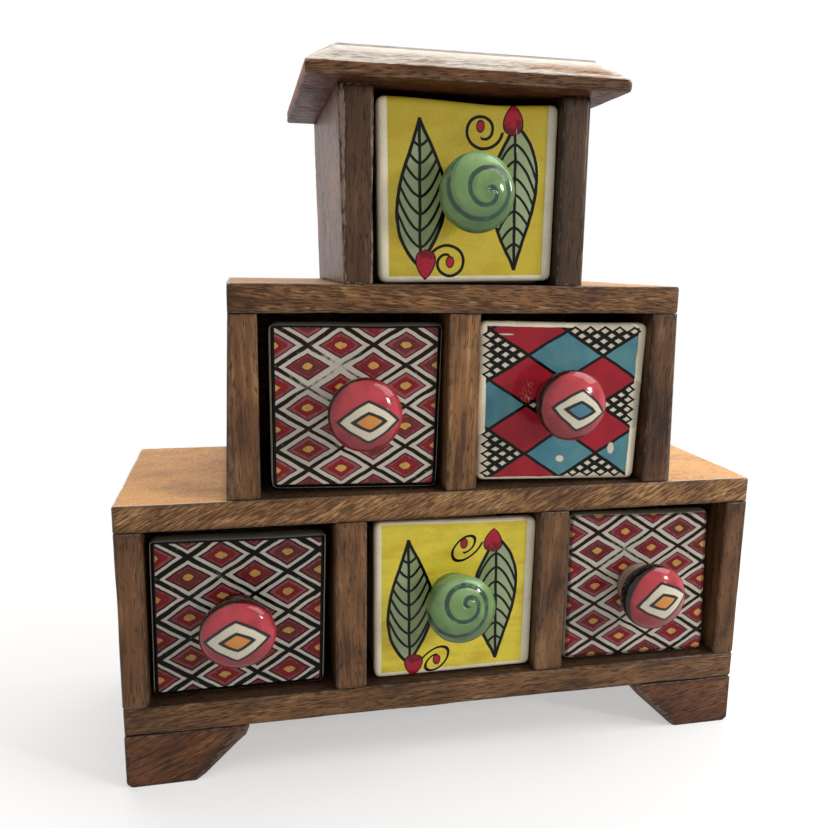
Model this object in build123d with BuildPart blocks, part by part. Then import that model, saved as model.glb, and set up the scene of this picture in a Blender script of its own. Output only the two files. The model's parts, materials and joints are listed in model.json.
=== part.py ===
from build123d import *
import os

# Stepped wooden chest of three tiers with six glazed ceramic drawers, three below, two
# in the middle and one on top. Millimetres, +Z up, front towards -Y. The origin is on
# the floor, at the middle of the whole outline.

# Drawer bays and the wooden boards round them
opening_width = 80.0
opening_height = 78.0
lower_wall = 11.0
upper_wall = 12.0
divider_wall = 14.0
base_thickness = 13.0
shelf_thickness = 12.0
carcass_depth = 105.0
upper_tier_shift = 2.0
board_round = 1.0

# Lid: a square edge, a small quirk and an oval crown on the front and both ends
lid_end_overhang = 14.0
lid_front_overhang = 12.0
lid_edge_height = 5.0
lid_crown_height = 8.5
lid_quirk = 1.0
lid_crown_run = 12.0

# Bracket feet, cut from thick board with a slanted inner edge and a short lip
foot_height = 24.0
foot_bottom_width = 30.5
foot_slant_run = 21.0
foot_lip_run = 2.0
foot_lip_height = 4.3
foot_thickness = 18.0
foot_toe_round = 2.0

# Back panels, let into rebates and held by panel pins
panel_thickness = 4.0
panel_fit = 0.2
rebate_width = 5.0
pin_radius = 0.6
pin_length = 15.0
pin_head_radius = 1.4
pin_head_thickness = 0.6
pin_end_margin = 12.0
pins_per_upright = 3
pin_fit = 0.05

# Wooden dowels in blind holes at every butt joint
dowel_radius = 2.5
dowel_fit = 0.05
dowel_in_board = 6.5
dowel_in_upright = 12.5
dowel_in_foot = 7.5
dowel_end_gap = 0.5
dowel_inset = 24.0
foot_dowel_spacing = 26.0

# Ceramic drawers: a front plate with a lower tray behind it
drawer_recess = 5.0
drawer_side_gap = 2.5
drawer_top_gap = 4.9
drawer_rear_gap = 2.0
running_gap = 0.3
front_thickness = 7.0
front_corner_round = 3.0
front_edge_round = 1.8
tray_side_step = 2.0
tray_height = 60.0
tray_wall = 4.0
tray_floor = 4.5
tray_corner_round = 5.0
tray_rim_round = 1.2

# Ceramic knobs, each with a spigot in a shallow socket of its drawer front
knob_reach = 24.0
knob_cap_radius = 15.5
knob_cap_rear_radius = 13.5
knob_neck_radius = 8.2
knob_foot_radius = 10.5
knob_neck_length = 11.0
knob_rim_length = 6.0
spigot_radius = 7.0
spigot_depth = 3.0
spigot_fit = 0.1

# Hand placing in each bay: how far the drawer sits right of the bay's middle, then how
# far the knob sits right of that middle and above the middle of the drawer front
placing = {
    "lower_left": (-1.0, -2.0, 0.0),
    "lower_middle": (1.6, 0.2, 2.8),
    "lower_right": (-0.8, -1.6, 1.5),
    "middle_left": (1.3, 2.2, 0.8),
    "middle_right": (0.3, -2.0, 2.8),
    "top": (0.9, -0.6, 0.0),
}

# Levels, from the floor up
base_bottom = foot_height
lower_floor = base_bottom + base_thickness
lower_ceiling = lower_floor + opening_height
middle_floor = lower_ceiling + shelf_thickness
middle_ceiling = middle_floor + opening_height
top_floor = middle_ceiling + shelf_thickness
top_ceiling = top_floor + opening_height

# Front to back, with the outline centred on the origin
front_reach = max(knob_reach - drawer_recess, lid_front_overhang)
carcass_front = (front_reach - carcass_depth) / 2
carcass_back = carcass_front + carcass_depth
panel_front = carcass_back - panel_thickness
drawer_face = carcass_front + drawer_recess
plate_back = drawer_face + front_thickness
drawer_back = panel_front - drawer_rear_gap
dowel_lines = (carcass_front + dowel_inset, carcass_back - dowel_inset)
front_foot_line = carcass_front + foot_thickness / 2
rear_foot_line = carcass_back - foot_thickness / 2

# Drawer front and tray sizes, from the bay that holds them
front_width = opening_width - 2 * drawer_side_gap
front_height = opening_height - drawer_top_gap - running_gap
tray_width = front_width - 2 * tray_side_step
tray_front = drawer_face + front_thickness / 4
hollow_width = tray_width - 2 * tray_wall
hollow_corner_round = tray_corner_round - tray_wall / 2


def tier_width(bays, wall):
    return bays * opening_width + (bays - 1) * divider_wall + 2 * wall


def bay_centres(bays, middle):
    pitch = opening_width + divider_wall
    first = middle - (bays - 1) * pitch / 2
    return [first + index * pitch for index in range(bays)]


def upright_centres(bays, wall, middle):
    """Centre lines of a tier's left wall, its dividers and its right wall."""
    outer = (tier_width(bays, wall) - wall) / 2
    half_step = (opening_width + divider_wall) / 2
    dividers = [centre + half_step for centre in bay_centres(bays, middle)[:-1]]
    return [middle - outer] + dividers + [middle + outer]


lower_uprights = upright_centres(3, lower_wall, 0)
middle_uprights = upright_centres(2, upper_wall, upper_tier_shift)
top_uprights = upright_centres(1, upper_wall, upper_tier_shift)
lower_width = tier_width(3, lower_wall)
middle_width = tier_width(2, upper_wall)
top_width = tier_width(1, upper_wall)
foot_top_width = foot_bottom_width + foot_slant_run + foot_lip_run


def dowel_points(uprights):
    """Two dowels at each upright's end, one near the front and one near the back."""
    return [(x, y) for x in uprights for y in dowel_lines]


def foot_dowel_points(side, line):
    """Two dowels on a foot's middle line. The side is -1 for left and 1 for right."""
    middle = lower_width / 2 - foot_top_width / 2
    half = foot_dowel_spacing / 2
    return [(side * (middle + half), line), (side * (middle - half), line)]


all_foot_dowels = [
    point
    for line in (front_foot_line, rear_foot_line)
    for side in (-1, 1)
    for point in foot_dowel_points(side, line)
]


def save(piece, name):
    piece.label = name
    export_step(piece, f"parts/{name}.step")


def facing_front(y):
    """Plane that looks out of the front, with X across and Z up."""
    return Plane(origin=(0, y, 0), x_dir=(1, 0, 0), z_dir=(0, -1, 0))


def facing_back(y):
    """Plane that looks out of the back, with X across and Z down."""
    return Plane(origin=(0, y, 0), x_dir=(1, 0, 0), z_dir=(0, 1, 0))


def drill(points, level, depth):
    """Cut blind dowel holes from a level, upwards where the depth is positive."""
    with BuildSketch(Plane.XY.offset(level)) as mouths:
        with Locations(*points):
            Circle(dowel_radius + dowel_fit)
    extrude(mouths.sketch, amount=depth, mode=Mode.SUBTRACT)


def board(name, width, middle, bottom, thickness, points_below, points_above):
    """A flat board across the chest, with dowel holes in its two faces."""
    with BuildPart() as plank:
        with BuildSketch(Plane.XY.offset(bottom)):
            with Locations((middle, carcass_front + carcass_depth / 2)):
                Rectangle(width, carcass_depth)
        extrude(amount=thickness)
        fillet(plank.edges(), radius=board_round)
        drill(points_below, bottom, dowel_in_board)
        drill(points_above, bottom + thickness, -dowel_in_board)
    save(plank.part, name)


def upright(name, centre, wall, floor, rebate_side):
    """A wall or divider that stands between two boards.

    The rebate side is 1 or -1 for an outer wall whose rebate faces that way along X,
    and 0 for a divider, which stops short of the back panel instead.
    """
    length = carcass_depth if rebate_side else carcass_depth - panel_thickness
    inner_face = centre + rebate_side * wall / 2
    with BuildPart() as post:
        with BuildSketch(Plane.XY.offset(floor)):
            with Locations((centre, carcass_front + length / 2)):
                Rectangle(wall, length)
        extrude(amount=opening_height)
        front_face = post.faces().sort_by(Axis.Y)[0]
        fillet(front_face.edges().filter_by(Axis.Z), radius=board_round)
        if rebate_side:
            with BuildSketch(Plane.XY.offset(floor)):
                with Locations((inner_face, panel_front + panel_thickness / 2)):
                    Rectangle(2 * rebate_width, panel_thickness)
            extrude(amount=opening_height, mode=Mode.SUBTRACT)
        drill([(centre, y) for y in dowel_lines], floor, dowel_in_upright)
        drill([(centre, y) for y in dowel_lines], floor + opening_height, -dowel_in_upright)
        bore = [(x, -z) for x, z in pin_points([centre], wall, floor, rebate_side)]
        with BuildSketch(facing_back(panel_front)) as mouths:
            with Locations(*bore):
                Circle(pin_radius + pin_fit)
        depth = pin_length - panel_thickness + dowel_end_gap
        extrude(mouths.sketch, amount=-depth, mode=Mode.SUBTRACT)
    save(post.part, name)


def pin_points(uprights, wall, floor, rebate_side):
    """Where panel pins enter: a divider's middle, or half way along an outer rebate."""
    lowest = floor + pin_end_margin
    step = (opening_height - 2 * pin_end_margin) / (pins_per_upright - 1)
    reach = rebate_side * (wall - rebate_width) / 2
    return [(x + reach, lowest + row * step) for x in uprights for row in range(pins_per_upright)]


def tier_pin_points(uprights, wall, floor):
    left = pin_points(uprights[:1], wall, floor, 1)
    middle = pin_points(uprights[1:-1], wall, floor, 0)
    right = pin_points(uprights[-1:], wall, floor, -1)
    return left + middle + right


def back_panel(name, uprights, wall, floor):
    """A thin panel let into the two outer walls, with counterbored pin holes."""
    middle = (uprights[0] + uprights[-1]) / 2
    inside = uprights[-1] - uprights[0] - wall
    points = [(x, -z) for x, z in tier_pin_points(uprights, wall, floor)]
    with BuildPart() as sheet:
        with BuildSketch(facing_back(panel_front)):
            with Locations((middle, -(floor + opening_height / 2))):
                Rectangle(inside + 2 * (rebate_width - panel_fit), opening_height - 2 * panel_fit)
        extrude(amount=panel_thickness)
        with BuildSketch(facing_back(panel_front)) as bores:
            with Locations(*points):
                Circle(pin_radius + pin_fit)
        extrude(bores.sketch, amount=panel_thickness, mode=Mode.SUBTRACT)
        with BuildSketch(facing_back(carcass_back)) as seats:
            with Locations(*points):
                Circle(pin_head_radius + pin_fit)
        extrude(seats.sketch, amount=-pin_head_thickness, mode=Mode.SUBTRACT)
    save(sheet.part, name)


def panel_pins(name, uprights, wall, floor):
    """The pins of one back panel, their heads flush with its outside."""
    points = [(x, -z) for x, z in tier_pin_points(uprights, wall, floor)]
    with BuildPart() as pins:
        with BuildSketch(facing_back(carcass_back)) as shanks:
            with Locations(*points):
                Circle(pin_radius)
        extrude(shanks.sketch, amount=-pin_length)
        with BuildSketch(facing_back(carcass_back)) as heads:
            with Locations(*points):
                Circle(pin_head_radius)
        extrude(heads.sketch, amount=-pin_head_thickness)
    save(pins.part, name)


def dowels(name, points, joint_level, below, above):
    """Dowels across one joint, each a little shorter than the holes that hold it."""
    with BuildPart() as pegs:
        with BuildSketch(Plane.XY.offset(joint_level - below + dowel_end_gap)):
            with Locations(*points):
                Circle(dowel_radius)
        extrude(amount=below + above - 2 * dowel_end_gap)
    save(pegs.part, name)


def foot(name, side, line):
    """A bracket foot at one corner. The side is -1 for left and 1 for right."""
    outer = side * lower_width / 2
    toe = outer - side * foot_bottom_width
    knee = toe - side * foot_slant_run
    lip = knee - side * foot_lip_run
    knee_level = foot_height - foot_lip_height
    outline = [(outer, 0), (toe, 0), (knee, knee_level), (lip, foot_height), (outer, foot_height)]
    with BuildPart() as bracket:
        with BuildSketch(facing_front(line + foot_thickness / 2)) as profile:
            with BuildLine():
                Polyline(*outline, close=True)
            make_face()
            fillet(profile.vertices().group_by(Axis.Y)[0], radius=foot_toe_round)
        extrude(amount=foot_thickness)
        drill(foot_dowel_points(side, line), foot_height, -dowel_in_foot)
    save(bracket.part, name)


def lid():
    """The overhanging lid, flush at the back, its crown rounded on the other sides."""
    width = top_width + 2 * lid_end_overhang
    length = carcass_depth + lid_front_overhang
    half = width / 2 - lid_quirk
    front = carcass_back - length + lid_quirk
    base = top_ceiling + lid_edge_height
    top = base + lid_crown_height
    with BuildPart() as cover:
        with BuildSketch(facing_front(carcass_back)):
            with BuildLine():
                Polyline((lid_crown_run - half, top), (half - lid_crown_run, top))
                EllipticalCenterArc((half - lid_crown_run, base), lid_crown_run, lid_crown_height, arc_size=90)
                Polyline((half, base), (-half, base))
                EllipticalCenterArc(
                    (lid_crown_run - half, base), lid_crown_run, lid_crown_height, start_angle=90, arc_size=90
                )
            make_face()
        extrude(amount=length - lid_quirk)
        with BuildSketch(Plane(origin=(-half, 0, 0), x_dir=(0, 1, 0), z_dir=(1, 0, 0))):
            with BuildLine():
                EllipticalCenterArc(
                    (front + lid_crown_run, base), lid_crown_run, lid_crown_height, start_angle=90, arc_size=90
                )
                Polyline((front, base), (carcass_back, base), (carcass_back, top), (front + lid_crown_run, top))
            make_face()
        extrude(amount=2 * half, mode=Mode.INTERSECT)
        with BuildSketch(Plane.XY.offset(top_ceiling)):
            with Locations((0, carcass_back - length / 2)):
                Rectangle(width, length)
        extrude(amount=lid_edge_height)
        drill(dowel_points(top_uprights), top_ceiling, dowel_in_board)
    save(cover.part, "lid")


def tray_outline(centre, front, back, width, corner, level):
    """A rectangle at one level whose two rear corners are rounded."""
    with BuildSketch(Plane.XY.offset(level)) as outline:
        with Locations((centre, (front + back) / 2)):
            Rectangle(width, back - front)
        fillet(outline.vertices().group_by(Axis.Y)[-1], radius=corner)
    return outline.sketch


def drawer(name, centre, floor, knob_place):
    """A ceramic drawer: rounded front plate, open tray and a socket for the knob."""
    bottom = floor + running_gap
    middle_z = bottom + front_height / 2
    with BuildPart() as box:
        with BuildSketch(facing_front(plate_back)):
            with Locations((centre, middle_z)):
                RectangleRounded(front_width, front_height, front_corner_round)
        extrude(amount=front_thickness)
        fillet(box.faces().sort_by(Axis.Y)[0].edges(), radius=front_edge_round)
        outside = tray_outline(centre, tray_front, drawer_back, tray_width, tray_corner_round, bottom)
        extrude(outside, amount=tray_height)
        hollow_base = bottom + tray_floor
        hollow_back = drawer_back - tray_wall
        inside = tray_outline(centre, plate_back, hollow_back, hollow_width, hollow_corner_round, hollow_base)
        extrude(inside, amount=tray_height - tray_floor, mode=Mode.SUBTRACT)
        level = bottom + tray_height
        rim = box.edges().filter_by_position(Axis.Z, level, level)
        fillet(rim.filter_by_position(Axis.Y, plate_back, drawer_back, (False, True)), radius=tray_rim_round)
        with BuildSketch(facing_front(drawer_face)) as socket:
            with Locations(knob_place):
                Circle(spigot_radius + spigot_fit)
        extrude(socket.sketch, amount=-(spigot_depth + spigot_fit), mode=Mode.SUBTRACT)
    save(box.part, name)


def knob(name, knob_place):
    """A turned ceramic knob: spigot, waisted neck, rim and domed cap."""
    seat = (knob_place[0], drawer_face, knob_place[1])
    axis_plane = Plane(origin=seat, x_dir=(0, -1, 0), z_dir=(1, 0, 0))
    rear = (knob_neck_length, knob_cap_rear_radius)
    widest = knob_neck_length + knob_rim_length
    with BuildPart() as cap:
        with BuildSketch(axis_plane):
            with BuildLine():
                Polyline(
                    (knob_reach, 0),
                    (-spigot_depth, 0),
                    (-spigot_depth, spigot_radius),
                    (0, spigot_radius),
                    (0, knob_foot_radius),
                )
                ThreePointArc((0, knob_foot_radius), (knob_neck_length / 2, knob_neck_radius), rear)
                TangentArc((widest, knob_cap_radius), rear, tangent=(-1, 0))
                EllipticalCenterArc((widest, 0), knob_reach - widest, knob_cap_radius, arc_size=90)
            make_face()
        revolve(axis=Axis(seat, (0, -1, 0)))
    save(cap.part, name)


# Boards, from the floor up
board(
    "base_board", lower_width, 0, base_bottom, base_thickness,
    all_foot_dowels, dowel_points(lower_uprights),
)
board(
    "lower_shelf_board", lower_width, 0, lower_ceiling, shelf_thickness,
    dowel_points(lower_uprights), dowel_points(middle_uprights),
)
board(
    "upper_shelf_board", middle_width, upper_tier_shift, middle_ceiling, shelf_thickness,
    dowel_points(middle_uprights), dowel_points(top_uprights),
)
lid()

# Walls and dividers of each tier, left to right
upright("lower_left_wall", lower_uprights[0], lower_wall, lower_floor, 1)
upright("lower_left_divider", lower_uprights[1], divider_wall, lower_floor, 0)
upright("lower_right_divider", lower_uprights[2], divider_wall, lower_floor, 0)
upright("lower_right_wall", lower_uprights[3], lower_wall, lower_floor, -1)
upright("middle_left_wall", middle_uprights[0], upper_wall, middle_floor, 1)
upright("middle_divider", middle_uprights[1], divider_wall, middle_floor, 0)
upright("middle_right_wall", middle_uprights[2], upper_wall, middle_floor, -1)
upright("top_left_wall", top_uprights[0], upper_wall, top_floor, 1)
upright("top_right_wall", top_uprights[1], upper_wall, top_floor, -1)

# Back panels and their pins
for tier, uprights, wall, floor in (
    ("lower", lower_uprights, lower_wall, lower_floor),
    ("middle", middle_uprights, upper_wall, middle_floor),
    ("top", top_uprights, upper_wall, top_floor),
):
    back_panel(f"{tier}_back_panel", uprights, wall, floor)
    panel_pins(f"{tier}_panel_pins", uprights, wall, floor)

# Feet
for row, line in (("front", front_foot_line), ("rear", rear_foot_line)):
    foot(f"{row}_left_foot", -1, line)
    foot(f"{row}_right_foot", 1, line)

# Dowels, one group for each joint level
dowels("foot_dowels", all_foot_dowels, base_bottom, dowel_in_foot, dowel_in_board)
for name, uprights, level in (
    ("base_board_dowels", lower_uprights, lower_floor),
    ("lower_shelf_top_dowels", middle_uprights, middle_floor),
    ("upper_shelf_top_dowels", top_uprights, top_floor),
):
    dowels(name, dowel_points(uprights), level, dowel_in_board, dowel_in_upright)
for name, uprights, level in (
    ("lower_shelf_under_dowels", lower_uprights, lower_ceiling),
    ("upper_shelf_under_dowels", middle_uprights, middle_ceiling),
    ("lid_dowels", top_uprights, top_ceiling),
):
    dowels(name, dowel_points(uprights), level, dowel_in_upright, dowel_in_board)

# Drawers and their knobs, left to right in each tier
for names, bays, middle, floor in (
    (("lower_left", "lower_middle", "lower_right"), 3, 0, lower_floor),
    (("middle_left", "middle_right"), 2, upper_tier_shift, middle_floor),
    (("top",), 1, upper_tier_shift, top_floor),
):
    for name, centre in zip(names, bay_centres(bays, middle)):
        drawer_shift, knob_shift, knob_lift = placing[name]
        knob_place = (centre + knob_shift, floor + running_gap + front_height / 2 + knob_lift)
        drawer(f"{name}_drawer", centre + drawer_shift, floor, knob_place)
        knob(f"{name}_knob", knob_place)
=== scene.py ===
import json
import math

import bmesh
import bpy
from mathutils import Matrix, Vector

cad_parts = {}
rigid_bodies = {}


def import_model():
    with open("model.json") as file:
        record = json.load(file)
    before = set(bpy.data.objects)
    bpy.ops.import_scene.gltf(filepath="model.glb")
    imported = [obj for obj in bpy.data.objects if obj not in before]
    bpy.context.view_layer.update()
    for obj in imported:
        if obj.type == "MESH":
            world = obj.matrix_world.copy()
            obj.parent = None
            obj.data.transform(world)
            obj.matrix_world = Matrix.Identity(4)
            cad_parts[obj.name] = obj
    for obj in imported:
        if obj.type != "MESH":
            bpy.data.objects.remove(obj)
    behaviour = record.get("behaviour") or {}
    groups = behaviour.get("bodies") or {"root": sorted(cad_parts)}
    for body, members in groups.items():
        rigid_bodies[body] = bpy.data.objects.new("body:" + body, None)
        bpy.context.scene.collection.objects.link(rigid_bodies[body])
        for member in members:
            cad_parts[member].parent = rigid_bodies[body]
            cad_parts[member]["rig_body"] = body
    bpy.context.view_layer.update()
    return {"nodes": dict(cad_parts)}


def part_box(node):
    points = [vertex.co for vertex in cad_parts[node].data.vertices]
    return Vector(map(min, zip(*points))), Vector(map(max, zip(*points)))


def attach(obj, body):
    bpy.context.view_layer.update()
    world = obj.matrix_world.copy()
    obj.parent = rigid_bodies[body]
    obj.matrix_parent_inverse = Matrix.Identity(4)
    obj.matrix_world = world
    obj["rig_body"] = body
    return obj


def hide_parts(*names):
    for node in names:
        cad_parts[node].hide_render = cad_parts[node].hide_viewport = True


# A stepped wooden chest of six painted ceramic drawers, dressed round its fixed frame.
# Meshes are in metres. Patterns and wood figure are laid out in millimetres.

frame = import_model()

MM = 0.001
PER_METRE = 1000.0
TURN = 2 * math.pi

# Camera: the photograph's place, heading, tilt and roll
CAMERA_PLACE = (-0.09142, -0.37480, 0.22611)
CAMERA_HEADING = math.radians(12.158)
CAMERA_TILT = math.radians(-10.670)
CAMERA_ROLL = math.radians(0.835)
CAMERA_LENS = 35.04
CAMERA_SENSOR = 36.0

DRAWERS = ("lower_left", "lower_middle", "lower_right", "middle_left", "middle_right", "top")


def srgb(red, green, blue):
    """A colour given by its screen values, as the linear values that nodes take."""
    def linear(level):
        share = level / 255
        if share <= 0.04045:
            return share / 12.92
        return ((share + 0.055) / 1.055) ** 2.4
    return (linear(red), linear(green), linear(blue), 1.0)


CREAM = srgb(216, 206, 184)
BORDER_CREAM = srgb(250, 240, 212)
BRUSH_BLACK = srgb(12, 12, 9)
BRUSH_BROWN = srgb(36, 20, 10)
LATTICE_CREAM = srgb(206, 202, 188)
# Dark grey-brown of a lattice front's top edge, partly painted shade; also its rim line and the greyed
# lines by the knob
LATTICE_SIDE = srgb(84, 78, 68)
LATTICE_RED = srgb(152, 34, 44)
LATTICE_BROWN = srgb(110, 58, 52)
LATTICE_MAROON = srgb(130, 50, 60)
LATTICE_PINK = srgb(156, 84, 88)
LATTICE_EDGE = srgb(48, 28, 22)
LATTICE_ORANGE = srgb(222, 168, 92)
HARLEQUIN_RED = srgb(168, 36, 50)
HARLEQUIN_TEAL = srgb(90, 142, 148)
FIELD_YELLOW = srgb(222, 200, 70)
FIELD_OCHRE = srgb(200, 165, 45)
LEAF_SAGE = srgb(160, 174, 134)
LEAF_MOSS = srgb(134, 150, 98)
BUD_RED = srgb(178, 36, 56)
BUD_DARK = srgb(120, 28, 38)
KNOB_RED = srgb(188, 60, 68)
KNOB_WINE = srgb(152, 32, 46)
KNOB_RIM = srgb(56, 24, 20)
# Painted shade at the bottom of a red knob's cap
KNOB_LOWER_SHADE = srgb(108, 24, 32)
KNOB_GREEN = srgb(122, 158, 94)
KNOB_MOSS = srgb(92, 124, 68)
# Painted shade on a green knob's lower left
KNOB_PAINTED_SHADE = srgb(62, 92, 52)
# Painted highlight on a green knob's top
KNOB_TOP_HIGHLIGHT = srgb(166, 204, 142)
SPIRAL_GREEN = srgb(38, 62, 58)
GEM_ORANGE = srgb(214, 140, 60)
GEM_BLUE = srgb(72, 122, 142)
WOOD_DARK = srgb(84, 56, 36)
WOOD_MIDDLE = srgb(140, 101, 66)
WOOD_LIGHT = srgb(190, 148, 102)
WOOD_PORE = srgb(52, 32, 20)
# Painted shade on the floors of the bays
WOOD_STAIN = srgb(62, 42, 30)
WOOD_BAY_SHADE = srgb(34, 24, 20)
# Painted light: the colour of a ledge top lit from above
WOOD_LIT_TOP = srgb(244, 178, 106)
WOOD_TAN = srgb(188, 134, 84)
# Painted light: a ledge top on the right, lit more
WOOD_LIT_RIGHT = srgb(246, 186, 120)
# Painted highlight: the glare on the lid's crown and along the ledges' front edges
WOOD_GLARE = srgb(240, 230, 218)
WOOD_ARRIS = srgb(200, 176, 150)
BEECH = srgb(196, 160, 116)
STEEL = srgb(150, 146, 140)


class Field:
    """A value that varies over a surface, worked out by nodes of one tree."""

    def __init__(self, tree, socket):
        self.tree = tree
        self.socket = socket

    def math(self, operation, *others):
        values = dict(enumerate((self, *others)))
        return add_node(self.tree, "ShaderNodeMath", values, operation=operation)

    def __add__(self, other):
        return self.math("ADD", other)

    def __sub__(self, other):
        return self.math("SUBTRACT", other)

    def __mul__(self, other):
        return self.math("MULTIPLY", other)

    def __truediv__(self, other):
        return self.math("DIVIDE", other)

    def __pow__(self, other):
        return self.math("POWER", other)

    def __neg__(self):
        return self.math("MULTIPLY", -1.0)

    def __rsub__(self, other):
        return -self + other

    def __abs__(self):
        return self.math("ABSOLUTE")

    __radd__ = __add__
    __rmul__ = __mul__


def feed(tree, sockets, values):
    """Feeds sockets by name or number, each from a field or a plain value."""
    for label, value in values.items():
        if isinstance(value, Field):
            tree.links.new(value.socket, sockets[label])
        else:
            sockets[label].default_value = value


def add_node(tree, kind, values=None, output=0, **settings):
    """Adds a node with its settings and inputs. Gives one of its outputs."""
    node = tree.nodes.new(kind)
    for name, setting in settings.items():
        setattr(node, name, setting)
    feed(tree, node.inputs, values or {})
    return Field(tree, node.outputs[output])


def least(first, second):
    return first.math("MINIMUM", second)


def most(first, second):
    return first.math("MAXIMUM", second)


def length(first, second):
    return (first * first + second * second).math("SQRT")


def off_whole(value):
    """How far a value is from the nearest whole number."""
    return abs(value - value.math("ROUND"))


def ramp(value, start, end, first=0.0, last=1.0):
    """Eases from first to last while a value goes from start to end."""
    values = dict(enumerate((value, start, end, first, last)))
    return add_node(value.tree, "ShaderNodeMapRange", values, interpolation_type="SMOOTHSTEP")


def below(value, edge, blur):
    """A mask of where a value is under an edge."""
    return ramp(value, edge - blur, edge + blur, 1.0, 0.0)


def above(value, edge, blur):
    return ramp(value, edge - blur, edge + blur)


def vector_math(operation, vector, value, socket=1):
    return add_node(vector.tree, "ShaderNodeVectorMath", {0: vector, socket: value}, operation=operation)


def scaled(vector, scale):
    return vector_math("MULTIPLY", vector, scale)


def shifted(vector, shift):
    return vector_math("ADD", vector, shift)


def pushed(vector, distance):
    """A vector times a length."""
    return vector_math("SCALE", vector, distance, "Scale")


def blend(first, last, share):
    """Goes from one vector to another by a share."""
    return shifted(pushed(first, 1.0 - share), pushed(last, share))


def split(vector):
    node = vector.tree.nodes.new("ShaderNodeSeparateXYZ")
    feed(vector.tree, node.inputs, {0: vector})
    return [Field(vector.tree, output) for output in node.outputs]


def joined(*parts):
    """A vector of three values, at least one of them a field."""
    tree = next(part.tree for part in parts if isinstance(part, Field))
    return add_node(tree, "ShaderNodeCombineXYZ", dict(enumerate(parts)))


def noise(vector, scale, detail=2.0, output=0):
    """Noise of one scale, or of three scales along the axes."""
    if isinstance(scale, tuple):
        vector, scale = scaled(vector, scale), 1.0
    values = {"Vector": vector, "Scale": scale, "Detail": detail}
    return add_node(vector.tree, "ShaderNodeTexNoise", values, output)


def noises(vector, scale, detail=2.0):
    """Three noises, each about zero."""
    return [part - 0.5 for part in split(noise(vector, scale, detail, 1))]


# The colour sockets of a Mix node, whose other ones mix numbers and vectors
MIX_SHARE, MIX_UNDER, MIX_OVER, MIX_RESULT = 0, 6, 7, 2


def mixed(tree, kind, share, under, over):
    values = {MIX_SHARE: share, MIX_UNDER: under, MIX_OVER: over}
    return add_node(tree, "ShaderNodeMix", values, MIX_RESULT, data_type="RGBA", blend_type=kind)


def paint(colour, *coats):
    """Lays colours over another in turn, each where the mask before it says."""
    for mask, coat in zip(coats[::2], coats[1::2]):
        colour = mixed(mask.tree, "MIX", mask, colour, coat)
    return colour


def tinted(colour, tint):
    return mixed(colour.tree, "MULTIPLY", 1.0, colour, tint)


def brightened(colour, value):
    return add_node(value.tree, "ShaderNodeHueSaturation", {"Value": value, "Color": colour})


def start_group(name, kind, inputs, outputs):
    """A node group with named sockets: its tree, its inputs as fields and its output node.

    An input is given as its default, which sets its type, or as a type by itself.
    """
    tree = bpy.data.node_groups.new(name, kind)
    for label, default in inputs.items():
        if isinstance(default, str):
            tree.interface.new_socket(label, in_out="INPUT", socket_type=default)
            continue
        fitting = FLOAT if isinstance(default, float) else SOCKET_OF_SIZE[len(default)]
        socket = tree.interface.new_socket(label, in_out="INPUT", socket_type=fitting)
        socket.default_value = default
    for label, socket_type in outputs.items():
        tree.interface.new_socket(label, in_out="OUTPUT", socket_type=socket_type)
    entry = tree.nodes.new("NodeGroupInput")
    given = {label: Field(tree, entry.outputs[label]) for label in inputs}
    return tree, given, tree.nodes.new("NodeGroupOutput")


def end_group(tree, result, outputs):
    feed(tree, result.inputs, outputs)
    return tree


FLOAT = "NodeSocketFloat"
VECTOR = "NodeSocketVector"
COLOUR = "NodeSocketColor"
GEOMETRY = "NodeSocketGeometry"
MATERIAL = "NodeSocketMaterial"
SOCKET_OF_SIZE = {3: VECTOR, 4: COLOUR}
NOWHERE = (0.0, 0.0, 0.0)
WHITE = (1.0, 1.0, 1.0, 1.0)
SURFACE = {"Color": COLOUR, "Roughness": FLOAT, "Height": FLOAT}
PAINTED = {"Color": COLOUR, "Line": FLOAT}


# Shader groups: what more than one finish shares

def edge_distance_group():
    """Millimetres from a point on a box-like piece to the nearest edge of that box."""
    inputs = {"Vector": VECTOR, "Low": NOWHERE, "High": (1.0, 1.0, 1.0)}
    tree, given, result = start_group("edge distance", "ShaderNodeTree", inputs, {"Distance": FLOAT})
    sides = [split(given[label]) for label in ("Vector", "Low", "High")]
    gaps = [least(point - low, high - point) for point, low, high in zip(*sides)]
    return end_group(tree, result, {"Distance": middle_of(gaps)})


def middle_of(three):
    """The middle one of three values."""
    first, second, third = three
    return most(least(first, second), least(most(first, second), third))


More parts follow.
